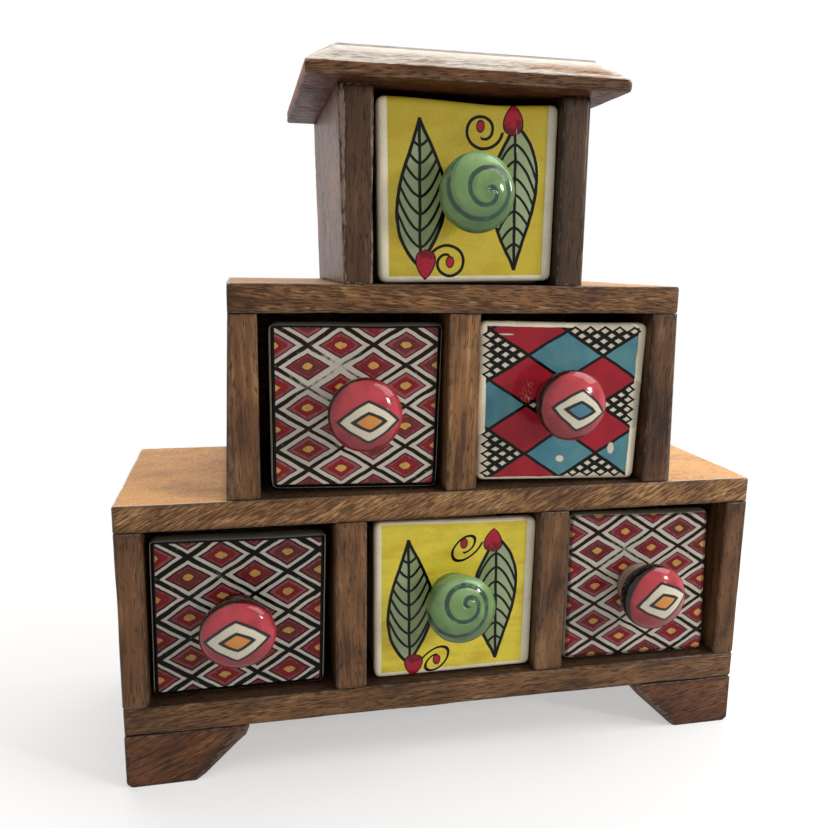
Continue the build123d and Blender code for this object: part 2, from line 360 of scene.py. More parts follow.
def wood_figure_group():
    """Stained open-pored hardwood with its grain along X, in millimetres, with painted light: lit ledge
    tops, a glare on a crown, and painted shade on bay floors and, where asked, on undersides.
    """
    inputs = {
        "Vector": VECTOR,
        "Edge Distance": 10.0,
        "Stain": WHITE,
        "Side Tint": WHITE,
        "Under Tint": WHITE,
        "Edge Stain": 0.55,
        "Arris": 0.15,
        # Painted light on ledge tops, and more of it on the right
        "Bleach": 0.0,
        "Blond": 0.0,
        # Painted shade on upward faces in the bays
        "Bay Stain": 0.7,
        # Painted glare on a crown
        "Crown": 0.0,
        "Pores": 0.5,
    }
    tree, given, result = start_group("wood figure", "ShaderNodeTree", inputs, SURFACE)
    vector = given["Vector"]
    _, across, deep = split(vector)
    sway = noises(vector, (0.012, 0.04, 0.04))
    ring = (across + sway[0] * 20) * 0.11 + (deep + sway[1] * 20) * 0.13
    band = (ring * TURN).math("SINE") * 0.5 + 0.5
    streak = noise(vector, (0.035, 0.75, 0.75), 3.0)
    cloud = noise(vector, (0.03, 0.06, 0.06), 3.0)
    bent = shifted(vector, joined(0.0, sway[1] * 3, sway[2] * 3))
    pore_grain = noise(bent, (0.19, 1.9, 1.9))
    fleck_grain = noise(bent, (0.15, 1.5, 1.5))
    pore = ramp(pore_grain + (band - 0.5) * 0.06 + given["Pores"] * 0.22, 0.6, 0.72)
    fleck = ramp(fleck_grain, 0.52, 0.7)
    shade = band * 0.16 + streak * 0.8 + cloud * 1.4 + fleck * given["Pores"] * 0.5 - 0.74
    colour = paint(
        WOOD_DARK,
        ramp(shade, 0.12, 0.5), WOOD_MIDDLE,
        ramp(shade, 0.48, 0.95), WOOD_LIGHT,
        pore * 0.72, WOOD_PORE,
    )
    rubbed = noise(vector, (0.05, 0.2, 0.2), 3.0)
    near_edge = ramp(given["Edge Distance"] + (rubbed - 0.5) * 5, 0.0, 2.2, 1.0, 0.0)
    colour = tinted(paint(colour, near_edge * given["Edge Stain"], WOOD_STAIN), given["Stain"])
    sideways, _, upward = split(add_node(tree, "ShaderNodeNewGeometry", output="Normal"))
    colour = paint(colour, ramp(sideways, -0.5, -0.8), tinted(colour, given["Side Tint"]))
    # Downward faces take their own tint; on the lid this is painted shade, darker and redder underneath
    colour = paint(colour, ramp(upward, -0.5, -0.8), tinted(colour, given["Under Tint"]))
    # Painted shade: upward faces dark, as on the floors of the shaded bays; the ledges' painted light
    # covers it where no tier stands
    colour = paint(colour, ramp(upward, 0.6, 0.9) * given["Bay Stain"], WOOD_BAY_SHADE)
    worn = noise(vector, (0.2, 0.7, 0.7), 3.0)
    arris = ramp(given["Edge Distance"] + (worn - 0.5) * 4, 0.1, 0.7, 1.0, 0.0)
    colour = paint(colour, arris * given["Arris"], WOOD_ARRIS)
    # Painted light: the colour of a lit ledge top, lighter on the right, with a pale painted highlight
    # along its front edge
    lit_top = paint(
        WOOD_LIT_TOP,
        given["Blond"], WOOD_LIT_RIGHT,
        ramp(shade, 0.62, 0.15) * 0.7, WOOD_TAN,
        pore * 0.16, WOOD_DARK,
        ramp(given["Edge Distance"], 0.5, 1.4, 0.8, 0.0), WOOD_GLARE,
    )
    # Painted light on upward faces where the ledge input asks for it
    colour = paint(colour, ramp(upward, 0.6, 0.9) * given["Bleach"], lit_top)
    # Painted glare on the lid's crown: near-white where it faces up, the figure showing where it is
    # steeper, a painted shade line where the crown turns onto the top, and the flat top in the lit ledge
    # colour
    crown_top_shade = ramp(upward, 0.86, 0.92) * ramp(upward, 0.985, 0.96)
    pale = paint(
        WOOD_GLARE,
        ramp(shade, 0.7, 0.2) * ramp(upward, 0.85, 0.3), WOOD_TAN,
        pore * ramp(upward, 0.85, 0.25) * 0.55, WOOD_DARK,
        crown_top_shade * 0.75, WOOD_STAIN,
        ramp(upward, 0.985, 0.992), lit_top,
    )
    # Painted glare where the crown input asks for it
    colour = paint(colour, ramp(upward, 0.02, 0.25) * given["Crown"], pale)
    return end_group(tree, result, {
        "Color": colour,
        "Roughness": streak * 0.16 + pore * 0.25 + 0.34,
        "Height": streak * 0.08 - pore * 0.16 + fleck * 0.03,
    })


def glazed_clay_group():
    """Glaze over painted clay: specks, soft waves and slightly raised brush lines."""
    inputs = {"Vector": VECTOR, "Color": CREAM, "Line": 0.0}
    tree, given, result = start_group("glazed clay", "ShaderNodeTree", inputs, SURFACE)
    vector = given["Vector"]
    cloud = noise(vector, 0.06)
    grit = noise(vector, 1.3, 1.0)
    speck = above(grit, 0.77, 0.02)
    colour = brightened(given["Color"], cloud * 0.36 + grit * 0.3 + 0.67)
    colour = paint(colour, speck * 0.6, WOOD_PORE)
    wave = noise(vector, 0.22)
    return end_group(tree, result, {
        "Color": colour,
        "Roughness": cloud * 0.08 + speck * 0.2 + 0.06,
        "Height": wave * 0.12 + given["Line"] * 0.04 - speck * 0.05,
    })


def brush_place(vector, wander, size):
    """Millimetres across and up a painted face, wandering as a brush does."""
    across, _, up = split(vector)
    drift = noises(vector, size)
    return across + drift[0] * wander, up + drift[2] * wander


def on_face(vector, depth):
    """A mask of the front face and its rounded edge, and not the sides behind."""
    return below(split(vector)[1], depth, 0.3)


def plate_distance(across, up, half_width, half_height, corner):
    """Millimetres inside the rounded outline of a drawer front, which is negative inside."""
    beside = abs(across) - (half_width - corner)
    over = abs(up) - (half_height - corner)
    outside = length(most(beside, 0.0), most(over, 0.0))
    return outside + least(most(beside, over), 0.0) - corner


FRONT_HALF_WIDTH = 37.5
FRONT_HALF_HEIGHT = 36.4
FRONT_CORNER = 3.0
PLATE_THICKNESS = 7.2
TRAY_TOP = 27.0
LATTICE_WIDTH = 28.0
LATTICE_FACE = 1.6
FACE_DEPTH = 2.2
# Edges of the nested diamonds, as shares of a cell away from its middle
GEM_EDGE = 0.108
GEM_OUTLINE = 0.142
MIDDLE_EDGE = 0.205
MIDDLE_OUTLINE = 0.225
CREAM_OUTLINE = 0.302
CREAM_EDGE = 0.333


def lattice_paint_group():
    """Nested diamonds in a black lattice edged with cream, with a tone that dims it as painted shade, a
    haze by the knob that is partly painted reflection, and painted shade on the plate's top edge.
    """
    inputs = {
        "Vector": VECTOR,
        "Moulded": VECTOR,
        "Phase X": 0.0,
        "Phase Z": 0.0,
        "Height": 17.7,
        "Ink": 0.0,
        "Ink Color": BRUSH_BROWN,
        "Tone": 1.0,
        "Rim": 1.0,
        "Smear": 1.0,
    }
    tree, given, result = start_group("lattice paint", "ShaderNodeTree", inputs, PAINTED)
    vector = given["Vector"]
    across, up = brush_place(vector, 1.4, 0.11)
    aside = (across - given["Phase X"]) / LATTICE_WIDTH
    over = (up - given["Phase Z"]) / given["Height"]
    rising = aside + over
    falling = aside - over
    ring = most(off_whole(rising), off_whole(falling))
    cell = joined(rising.math("ROUND"), falling.math("ROUND"), 0.0)
    luck = add_node(tree, "ShaderNodeTexWhiteNoise", {"Vector": cell})
    blur = 0.008
    fade = noise(vector, 0.25)
    blotch = noise(vector, 0.55, 3.0)
    dab = ring + (blotch - 0.5) * 0.12
    round_dab = length(off_whole(rising), off_whole(falling)) * 0.4 + dab * 0.6
    from_knob = length(across, up)
    # A pale haze up and left of the knob, partly a glaze smear and partly the knob's painted reflection
    # and shadow: it thins, wears and greys the black lines there
    smear_and_reflection = ramp(length(across + 12.0, (up - 15.0) * 1.2), 4.0, 22.0, 1.0, 0.0) * given["Smear"]
    maroon = paint(LATTICE_MAROON, ramp(luck + fade + blotch, 0.9, 1.9), LATTICE_PINK)
    middle = paint(LATTICE_BROWN, ramp(luck * 3 - (luck * 3).math("FLOOR"), 0.45, 0.55), LATTICE_RED)
    gem = paint(LATTICE_ORANGE, ramp(blotch, 0.4, 0.7) * 0.5, LATTICE_PINK)
    cream_line = above(ring, CREAM_OUTLINE - given["Ink"] * 0.6, blur)
    colour = paint(
        maroon,
        below(dab, MIDDLE_OUTLINE, blur) * ramp(blotch, 0.3, 0.6), LATTICE_EDGE,
        below(dab, MIDDLE_EDGE, blur), middle,
        below(round_dab, GEM_OUTLINE, 0.02) * 0.85, LATTICE_EDGE,
        below(round_dab, GEM_EDGE, 0.02), gem,
        cream_line * ramp(blotch, 0.25, 0.5, 0.4, 1.0), LATTICE_EDGE,
    )
    # Painted shade: the tone input dims the paint and the cream of a front that lies in shade
    colour = brightened(colour, (blotch * 0.7 + 0.65) * given["Tone"])
    cream = brightened(paint(LATTICE_CREAM, fade * 0.2, LATTICE_PINK), given["Tone"] * 0.4 + 0.6)
    colour = paint(colour, above(ring, CREAM_EDGE + given["Ink"] * 0.8, blur), cream)
    cream_edge = ramp(from_knob, 12.0, 40.0, 0.462, 0.438) - given["Ink"] + smear_and_reflection * 0.02
    black = above(ring, cream_edge, blur)
    worn = ramp(noise(vector, 0.3, 3.0) - smear_and_reflection * 0.36, -0.05, 0.4)
    black = black * worn
    colour = paint(colour, black, paint(given["Ink Color"], smear_and_reflection * 0.5, LATTICE_SIDE))
    rim_across, _, rim_up = split(given["Moulded"])
    rim = plate_distance(rim_across, rim_up, FRONT_HALF_WIDTH, FRONT_HALF_HEIGHT, FRONT_CORNER)
    frame_line = above(rim, -2.3, 0.15) * given["Rim"]
    colour = paint(colour, frame_line, BRUSH_BLACK)
    colour = paint(colour, above(rim, -0.7, 0.15), paint(LATTICE_SIDE, 0.5 * fade + 0.5, LATTICE_CREAM))
    face = on_face(vector, LATTICE_FACE)
    upward = split(add_node(tree, "ShaderNodeNewGeometry", output="Normal"))[2]
    # The plate's top edge is painted dark grey-brown: partly the glaze's own dark edge, partly painted
    # shade under the shelf above
    plate_edge = on_face(vector, PLATE_THICKNESS) * above(up, TRAY_TOP, 0.5)
    side = paint(CREAM, ramp(upward, 0.2, 0.6) * plate_edge, LATTICE_SIDE)
    colour = paint(side, face * ramp(upward, 0.6, 0.3), colour)
    return end_group(tree, result, {"Color": colour, "Line": black * face})


HARLEQUIN_HALF_WIDTH = 16.9
HARLEQUIN_HALF_HEIGHT = 11.3
HARLEQUIN_CENTRE = (0.8, -1.2)
HARLEQUIN_FIELD = (-34.4, 33.4, -34.8, 34.2)
TEAL_CELLS = ((1, -1), (2, 0), (-1, -1), (-1, 1), (0, 2))
HATCHED_CELLS = ((0, -2), (0, 0), (1, 1), (-2, 0), (2, -1), (-1, 2))
HATCH_LINES = 5
HATCH_LINE_HALF = 0.25
HARLEQUIN_LINE_HALF = 0.036
GLAZE_CHIPS = ((0.6, -26.4, 1.9, 1.5), (24.8, -21.5, 1.5, 2.7), (-26.0, 30.8, 3.2, 0.35))


def within(across, up, field, blur):
    """A mask of a rectangle: left, right, bottom and top."""
    left, right, bottom, top = field
    sideways = above(across, left, blur) * below(across, right, blur)
    return sideways * above(up, bottom, blur) * below(up, top, blur)


def harlequin_paint(tree, vector, place):
    """Red and teal diamonds with hatched ones between them. Gives its colour and line mask."""
    across, up = brush_place(moulded_place(tree, place), 1.2, 0.09)
    side_one = (across - HARLEQUIN_CENTRE[0]) / HARLEQUIN_HALF_WIDTH
    side_two = (up - HARLEQUIN_CENTRE[1]) / HARLEQUIN_HALF_HEIGHT
    rising = (side_one + side_two) * 0.5
    falling = (side_one - side_two) * 0.5

    def cells(centres):
        mask = None
        for column, row in centres:
            spot = below(abs(rising - column), 0.5, 0.001) * below(abs(falling - row), 0.5, 0.001)
            mask = spot if mask is None else mask + spot
        return mask

    fade = noise(vector, 0.07, 3.0)
    red = paint(HARLEQUIN_RED, ramp(fade, 0.35, 0.7), KNOB_WINE)
    teal = paint(HARLEQUIN_TEAL, ramp(fade, 0.35, 0.7), GEM_BLUE)
    hatched = cells(HATCHED_CELLS)
    colour = paint(red, cells(TEAL_CELLS), teal)
    field = within(across, up, HARLEQUIN_FIELD, 0.2)
    colour = paint(BORDER_CREAM, field, colour)
    fine_rising = (rising + 0.5) * HATCH_LINES
    fine_falling = (falling + 0.5) * HATCH_LINES
    grid = least(off_whole(fine_rising), off_whole(fine_falling))
    brush = noise(vector, 0.6)
    hatch_line = below(grid + (brush - 0.5) * 0.16, HATCH_LINE_HALF, 0.05)
    mini_rising = (fine_rising.math("FLOOR") + 0.5) / HATCH_LINES - 0.5
    mini_falling = (fine_falling.math("FLOOR") + 0.5) / HATCH_LINES - 0.5
    mini_across = (mini_rising + mini_falling) * HARLEQUIN_HALF_WIDTH + HARLEQUIN_CENTRE[0]
    mini_up = (mini_rising - mini_falling) * HARLEQUIN_HALF_HEIGHT + HARLEQUIN_CENTRE[1]
    hatch_field = within(mini_across, mini_up, HARLEQUIN_FIELD, 0.01)
    colour = paint(colour, hatched, CREAM)
    hatch_line = hatch_line * hatched * hatch_field
    outline = least(0.5 - off_whole(rising), 0.5 - off_whole(falling))
    outline = below(outline, HARLEQUIN_LINE_HALF, 0.008) * field
    line = most(hatch_line, outline)
    colour = paint(colour, line, BRUSH_BLACK)
    for place_x, place_z, wide, high in GLAZE_CHIPS:
        spot = length((across - place_x) / wide, (up - place_z) / high)
        colour = paint(colour, below(spot, 1.0, 0.15), CREAM)
    crossing = noise(vector, (0.7, 0.7, 0.3), 1.0)
    scratched = below(length((across + 16.0) / 4.0, (up - 4.5) / 6.0), 0.8, 0.3)
    colour = paint(colour, below(abs(crossing - 0.5), 0.012, 0.006) * scratched * 0.7, CREAM)
    face = on_face(vector, FACE_DEPTH)
    return paint(CREAM, face, colour), line * face


# Painted leaf: a pointed blade with a bud at its base and a coiled tendril, once each way up
LEAF_TIP = 30.5
LEAF_BASE = -29.5
LEAF_INNER_HALF = 11.0
LEAF_OUTER_HALF = 9.8
LEAF_PLACE = 20.6
LEAF_LEAN = 0.022
VEIN_SPACING = 6.8
VEIN_START = -21.6
VEIN_COUNT = 7
BUD_PLACE = (-18.3, -24.0)
BUD_HALF_WIDTH = 3.9
TENDRIL_PLACE = -7.1
TENDRIL_ASIDE = 2.4
TENDRIL_TAIL = 16.0
TENDRIL_HOOK = 22.0
TENDRIL_REACH = 5.8
LINE_HALF = 0.66
LINE_BLUR = 0.12
LEAF_FIELD = (32.8, -33.8)


def arch(share, skew, power):
    """Rises from nothing to one and back while a share goes from none to all."""
    return most(((most(least(share, 1.0), 0.0) ** skew) * math.pi).math("SINE"), 0.0) ** power


def tendril_mask(across, up):
    """A coil that opens anticlockwise: a hook, one turn, and a tail that runs off to the bud."""
    radius = length(across, up)
    angle = up.math("ARCTAN2", across) / TURN
    tail = most(angle, 0.0) ** 2.0 * TENDRIL_TAIL
    curl = most(-0.35 - angle, 0.0) ** 2.0 * TENDRIL_HOOK
    turn = below(abs(radius - TENDRIL_REACH - tail + curl), LINE_HALF, LINE_BLUR)
    end = (0.65 - angle) ** 2.0 * TENDRIL_HOOK
    hook = below(abs(radius - TENDRIL_REACH + end), LINE_HALF, LINE_BLUR) * above(angle, 0.26, 0.01)
    return most(turn, hook)


def leaf_paint_group():
    """Two leaves, each with a red bud and a coiled tendril, on a yellow field."""
    inputs = {
        "Vector": VECTOR,
        "Moulded": VECTOR,
        "Yellow": FIELD_YELLOW,
        "Field Left": -33.4,
        "Field Top": 35.2,
        "Shift": 0.0,
        "Drop": 0.0,
        "Bud Shift": 0.6,
        "Bud Drop": 0.0,
        "Bud Height": 11.8,
        "Coil Height": -27.3,
        "Coil Rise": 1.2,
        "Coil Size": 1.0,
        "Coil Slant": 0.0,
    }
    tree, given, result = start_group("leaf paint", "ShaderNodeTree", inputs, PAINTED)
    vector = given["Vector"]
    across, up = brush_place(vector, 0.9, 0.1)
    streak = noise(vector, (0.05, 0.05, 0.16), 3.0)
    field_across, _, field_up = split(given["Moulded"])
    field = within(field_across, field_up, (given["Field Left"], *LEAF_FIELD, given["Field Top"]), 0.25)
    yellow = paint(given["Yellow"], ramp(streak, 0.42, 0.75) * 0.6, FIELD_OCHRE)
    colour = paint(BORDER_CREAM, field, yellow)
    across = across - given["Shift"]
    up = up + given["Drop"]
    side = across.math("SIGN")
    tendril_side = (across + up * 0.4).math("SIGN")
    bud_across = side * given["Bud Shift"] - abs(across)
    bud_up = -((up + given["Bud Drop"]) * side)
    leaf_up = -(up * side)

    share = (leaf_up - LEAF_BASE) / (LEAF_TIP - LEAF_BASE)
    aside = LEAF_PLACE - abs(across) + leaf_up * LEAF_LEAN
    outward = abs(aside)
    inner = above(aside, 0.0, 0.5)
    fuller = inner * 0.25 + 0.68
    half_width = inner * (LEAF_INNER_HALF - LEAF_OUTER_HALF) + LEAF_OUTER_HALF
    half = arch(share, fuller, 1.165) * half_width
    step_share = 0.02
    next_half = arch(share + step_share, fuller, 1.165) * half_width
    slope = (next_half - half) / (step_share * (LEAF_TIP - LEAF_BASE))
    rim = (outward - half) / (slope * slope + 1.0).math("SQRT")
    reach = within(aside, leaf_up, (-12.0, 12.0, LEAF_BASE, LEAF_TIP), 0.2)
    brush = noise(vector, (0.3, 0.3, 0.1))
    green = paint(LEAF_SAGE, ramp(aside + brush * 6, 0.5, 5.5) * 0.7, LEAF_MOSS)
    colour = paint(colour, below(rim, 0.0, 0.15) * reach, green)
    rise = outward * 0.35 + outward * outward * 0.12
    steepness = (outward * 0.24 + 0.35) * (outward * 0.24 + 0.35) + 1.0
    vein_count = (leaf_up - rise - VEIN_START) / VEIN_SPACING
    off_vein = off_whole(vein_count) * VEIN_SPACING / steepness.math("SQRT")
    vein = below(off_vein, LINE_HALF * 0.85, LINE_BLUR)
    counted = above(vein_count, -0.5, 0.01) * below(vein_count, VEIN_COUNT - 0.5, 0.01)
    vein = vein * counted * below(rim, 0.0, 0.1)
    midrib = below(outward, LINE_HALF, LINE_BLUR)
    leaf_line = most(most(vein, midrib), below(abs(rim), LINE_HALF * 1.1, LINE_BLUR)) * reach
    colour = paint(colour, leaf_line, BRUSH_BLACK)

    upper = most(tendril_side, 0.0)
    coil_across = -(across * tendril_side) - TENDRIL_PLACE - upper * TENDRIL_ASIDE
    coil_up = -(up * tendril_side) - given["Coil Height"] - upper * given["Coil Rise"]
    slant_across = (coil_across - coil_up * given["Coil Slant"]) / given["Coil Size"]
    slant_up = (coil_up - coil_across * given["Coil Slant"]) / given["Coil Size"]
    tendril = tendril_mask(slant_across, slant_up)
    dot = length(coil_across / 1.4, (coil_up + upper * 2.0) / 1.9)
    colour = paint(
        colour,
        tendril, BRUSH_BLACK,
        below(dot, 1.35, LINE_BLUR), BRUSH_BLACK,
        below(dot, 1.0, LINE_BLUR), BUD_RED,
    )

    bud_share = (bud_up - BUD_PLACE[1]) / given["Bud Height"] + 1
    bud_end = most(1.0 - bud_share, 0.0)
    bud_half = most(bud_share, 0.0) ** 0.8 * bud_end ** 0.42 * (BUD_HALF_WIDTH / 0.45)
    bud_rim = abs(bud_across - BUD_PLACE[0]) - bud_half
    bud_zone = above(bud_share, 0.0, 0.02) * below(bud_share, 1.0, 0.02)
    bud_line_zone = above(bud_share, -0.04, 0.02) * below(bud_share, 1.04, 0.02)
    bud_line = below(bud_rim, 0.6, LINE_BLUR) * bud_line_zone
    colour = paint(colour, bud_line, BRUSH_BLACK)
    mottle = noise(vector, 0.4, 3.0)
    red = paint(BUD_RED, ramp(bud_share + (mottle - 0.5) * 1.6, 0.6, 0.8), BUD_DARK)
    colour = paint(colour, below(bud_rim, 0.0, LINE_BLUR) * bud_zone, red)
    face = on_face(vector, FACE_DEPTH)
    line = most(leaf_line, tendril) * face
    return end_group(tree, result, {"Color": paint(CREAM, face, colour), "Line": line})


GEM_HALF_WIDTH = 7.7
GEM_HALF_HEIGHT = 4.3
KNOB_NECK_DEPTH = -11.3
KNOB_CAP_DEPTH = -14.5


def diamond_distance(across, up, half_width, half_height):
    """One on the outline of a slightly full diamond and less inside it."""
    return ((abs(across) / half_width) ** 1.15 + (abs(up) / half_height) ** 1.15) ** 0.87


def diamond_knob_group():
    """A red knob with a cream diamond round a coloured gem, and a dark band behind the cap."""
    inputs = {
        "Vector": VECTOR,
        "Gem": GEM_ORANGE,
        "Band": KNOB_RIM,
        "Band Depth": -18.3,
        "Band Slant": 0.06,
        "Foot": KNOB_WINE,
        "Wide": 13.2,
        "High": 9.1,
    }
    tree, given, result = start_group("diamond knob paint", "ShaderNodeTree", inputs, PAINTED)
    vector = given["Vector"]
    across, up = brush_place(vector, 1.0, 0.13)
    depth = split(vector)[1]
    cloud = noise(vector, 0.08)
    # Painted shade: the cap darkens to deep red towards its bottom
    red = paint(KNOB_RED, ramp(cloud, 0.4, 0.7), KNOB_WINE, ramp(up, 3.0, -13.0) * 0.7, KNOB_LOWER_SHADE)
    band = above(depth + (up * 0.5 - across) * given["Band Slant"], given["Band Depth"], 0.3)
    colour = paint(red, band, given["Band"], above(depth, KNOB_NECK_DEPTH, 0.3), given["Foot"])
    front = 1.0 - band
    outer = diamond_distance(across, up, given["Wide"], given["High"])
    inner = diamond_distance(across, up, GEM_HALF_WIDTH, GEM_HALF_HEIGHT)
    line = below(outer, 1.0, 0.03) * front
    colour = paint(
        colour,
        line, BRUSH_BLACK,
        below(outer, 0.86, 0.03) * front, CREAM,
        below(inner, 1.0, 0.05) * front, BRUSH_BLACK,
        below(inner, 0.68, 0.05) * front, given["Gem"],
    )
    return end_group(tree, result, {"Color": colour, "Line": line})


SPIRAL_HALF = 0.95
SPIRAL = {
    "Centre X": 1.5,
    "Centre Z": 0.5,
    "Drift X": -0.3,
    "Drift Z": -0.1,
    "Pitch": 6.0,
    "Reach": 1.0,
    "End": 14.0,
}


def spiral_knob_group():
    """A green knob with a dark spiral pressed into its cap."""
    inputs = {"Vector": VECTOR, **SPIRAL}
    tree, given, result = start_group("spiral knob paint", "ShaderNodeTree", inputs, PAINTED)
    vector = given["Vector"]
    across, up = brush_place(vector, 0.8, 0.12)
    depth = split(vector)[1]
    mask = spiral_mask(across, up, depth, given)
    cloud = noise(vector, 0.09)
    # Painted shade darkens the cap towards its lower left, and a painted highlight lightens its top
    green = paint(
        KNOB_GREEN,
        ramp(cloud, 0.4, 0.7), KNOB_MOSS,
        ramp(up - across * 0.4, 2.0, -14.0) * 0.7, KNOB_PAINTED_SHADE,
        ramp(up, 6.0, 14.0) * 0.5, KNOB_TOP_HIGHLIGHT,
    )
    faint = noise(vector, 0.2)
    colour = paint(green, mask * ramp(faint, 0.25, 0.5, 0.45, 0.95), SPIRAL_GREEN)
    return end_group(tree, result, {"Color": colour, "Line": -mask})


def spiral_mask(across, up, depth, given):
    """Where the brush went: a clockwise spiral whose middle drifts aside as it opens."""
    aside = across - given["Centre X"]
    over = up - given["Centre Z"]
    along = aside * given["Drift X"] + over * given["Drift Z"]
    spare = 1 - (given["Drift X"] * given["Drift X"] + given["Drift Z"] * given["Drift Z"])
    reached = aside * aside + over * over
    radius = ((along * along + spare * reached).math("SQRT") - along) / spare
    aside = aside - given["Drift X"] * radius
    over = over - given["Drift Z"] * radius
    turned = over.math("ARCTAN2", -aside) / TURN
    spread = (aside * given["Drift X"] + over * given["Drift Z"]) / radius + 1
    coil = off_whole((radius - given["Reach"]) / given["Pitch"] - turned) * given["Pitch"] * spread
    drawn = above(radius, 0.9, 0.3) * below(radius, given["End"], 0.5) * below(depth, KNOB_CAP_DEPTH, 0.4)
    return below(coil, SPIRAL_HALF, 0.18) * drawn


# Finishes: one material for each piece, made of the shared groups

def start_material(name):
    """A blank glossy finish, its tree, its shader and its object coordinates in millimetres."""
    finish = bpy.data.materials.new(name)
    finish.use_nodes = True
    tree = finish.node_tree
    shader = tree.nodes["Principled BSDF"]
    return finish, tree, shader, add_node(tree, "ShaderNodeTexCoord", output="Object")


def mapped(vector, place=(0, 0, 0), turn=(0, 0, 0), size=1.0):
    """Centres, turns and sizes a pattern on a piece."""
    values = {"Vector": vector, "Location": place, "Rotation": turn, "Scale": (size, size, size)}
    return add_node(vector.tree, "ShaderNodeMapping", values)


def group_in(tree, group, values):
    """Places a shared group in a material. Gives its outputs by name."""
    node = tree.nodes.new("ShaderNodeGroup")
    node.node_tree = group
    feed(tree, node.inputs, values)
    return {output.name: Field(tree, output) for output in node.outputs}


def finish_surface(tree, shader, surface):
    """Feeds colour, gloss and relief to the shader."""
    feed(tree, shader.inputs, {
        "Base Color": surface["Color"],
        "Roughness": surface["Roughness"],
        "Normal": add_node(tree, "ShaderNodeBump", {"Distance": MM, "Height": surface["Height"]}),
    })


def ledge_light(node, position):
    """How much painted light a shelf's top takes: only where no tier stands on it."""
    if node not in LIT_LEDGES:
        return 0.0
    left_wall, right_wall, ledge_lit = LIT_LEDGES[node]
    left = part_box(left_wall)[0].x
    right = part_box(right_wall)[1].x
    middle = (left + right) / 2
    half = (right - left) / 2
    from_wall = abs(split(position)[0] - middle) - half
    # Painted shade: the ledge's painted light fades to under half within 6 mm of the tier's walls, where
    # their shadow falls
    return ramp(from_wall, -0.3 * MM, 0.3 * MM) * ramp(from_wall, 0.0, 6 * MM, 0.45, 1.0) * ledge_lit


# Where a foot's slanted edge meets the floor, and how far it leans in for each millimetre up
FOOT_TOE = 115.0
FOOT_SLANT = 0.92
# How far a piece's figure is moved for each metre of its place, so that no two look alike
FIGURE_SHIFT_X = 3100
FIGURE_SHIFT_Y = 1700
FIGURE_SHIFT_Z = 2300
FIGURE_SHIFT_UP = 900
WOOD_GLOSS = 0.2
WAX = 0.1
WAX_ROUGHNESS = 0.22


def chest_wood(node, grain, stain, pores, **wear_and_light):
    """Stained wood for one piece. The grain is its slope above the X axis, in degrees."""
    low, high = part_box(node)
    finish, tree, shader, position = start_material(node + "_wood")
    place = mapped(position, size=PER_METRE)
    box = {"Low": low * PER_METRE, "High": high * PER_METRE}
    nearest = group_in(tree, EDGE_DISTANCE, {"Vector": place, **box})["Distance"]
    deep_shift = low.y * FIGURE_SHIFT_Z + low.z * FIGURE_SHIFT_UP
    start = (low.x * FIGURE_SHIFT_X, low.z * FIGURE_SHIFT_Y, deep_shift)
    if "foot" in node:
        across, _, up = split(place)
        nearest = least(nearest, (abs(across) + up * FOOT_SLANT - FOOT_TOE) * 0.25)
    figure = group_in(tree, WOOD_FIGURE, {
        "Vector": mapped(place, start, (0, math.radians(grain), 0)),
        "Edge Distance": nearest,
        "Stain": (*stain, 1.0),
        # Painted light on the ledges, lighter on the right side of the chest
        "Bleach": ledge_light(node, position),
        "Blond": ramp(split(position)[0], 0.02, 0.12),
        "Pores": pores,
        # Wear, tints and painted light that only some pieces have
        **wear_and_light,
    })
    finish_surface(tree, shader, figure)
    feed(tree, shader.inputs, {
        "Specular IOR Level": WOOD_GLOSS,
        "Coat Weight": 0.0 if node == "lid" or "panel" in node else WAX,
        "Coat Roughness": WAX_ROUGHNESS,
    })
    return finish


def ceramic(name, place, painted, gloss):
    """Glazed ceramic. Painted makes colour and line from millimetres about the face's centre."""
    finish, tree, shader, position = start_material(name)
    centred = mapped(position, [-axis * PER_METRE for axis in place], size=PER_METRE)
    colour, line = painted(tree, centred, place)
    surface = group_in(tree, GLAZED_CLAY, {"Vector": centred, "Color": colour, "Line": line})
    finish_surface(tree, shader, surface)
    shader.inputs["Specular IOR Level"].default_value = gloss
    return finish


def colour_and_line(tree, group, values):
    outputs = group_in(tree, group, values)
    return outputs["Color"], outputs["Line"]


def painted_by(group, values):
    """Paint from a shared group, as ceramic takes it."""
    def painted(tree, centred, _):
        return colour_and_line(tree, group, {"Vector": centred, **values})
    return painted


def placed_by(degrees, aside, over, group, values):
    """The same paint, turned and moved aside and over on the face."""
    def painted(tree, centred, _):
        placed = mapped(centred, (-aside, 0, -over), (0, math.radians(degrees), 0))
        return colour_and_line(tree, group, {"Vector": placed, **values})
    return painted


# Pieces

def own_mesh(node):
    """A merged copy of a CAD node's mesh, as a new object's own."""
    mesh = frame["nodes"][node].data.copy()
    mesh.materials.clear()
    shell = bmesh.new()
    shell.from_mesh(mesh)
    bmesh.ops.remove_doubles(shell, verts=shell.verts, dist=1e-6)
    shell.to_mesh(mesh)
    shell.free()
    return mesh


def add_object(name, data):
    added = bpy.data.objects.new(name, data)
    bpy.context.scene.collection.objects.link(added)
    return added


def work(piece, tree, values):
    """Runs a Geometry Nodes tree on a piece and keeps the result as its plain mesh."""
    modifier = piece.modifiers.new(tree.name, "NODES")
    modifier.node_group = tree
    for item in tree.interface.items_tree:
        if item.item_type == "SOCKET" and item.in_out == "INPUT" and item.name in values:
            modifier[item.identifier] = values[item.name]
    depsgraph = bpy.context.evaluated_depsgraph_get()
    mesh = bpy.data.meshes.new_from_object(piece.evaluated_get(depsgraph))
    piece.modifiers.clear()
    piece.data = mesh
    for face in mesh.polygons:
        face.use_smooth = True


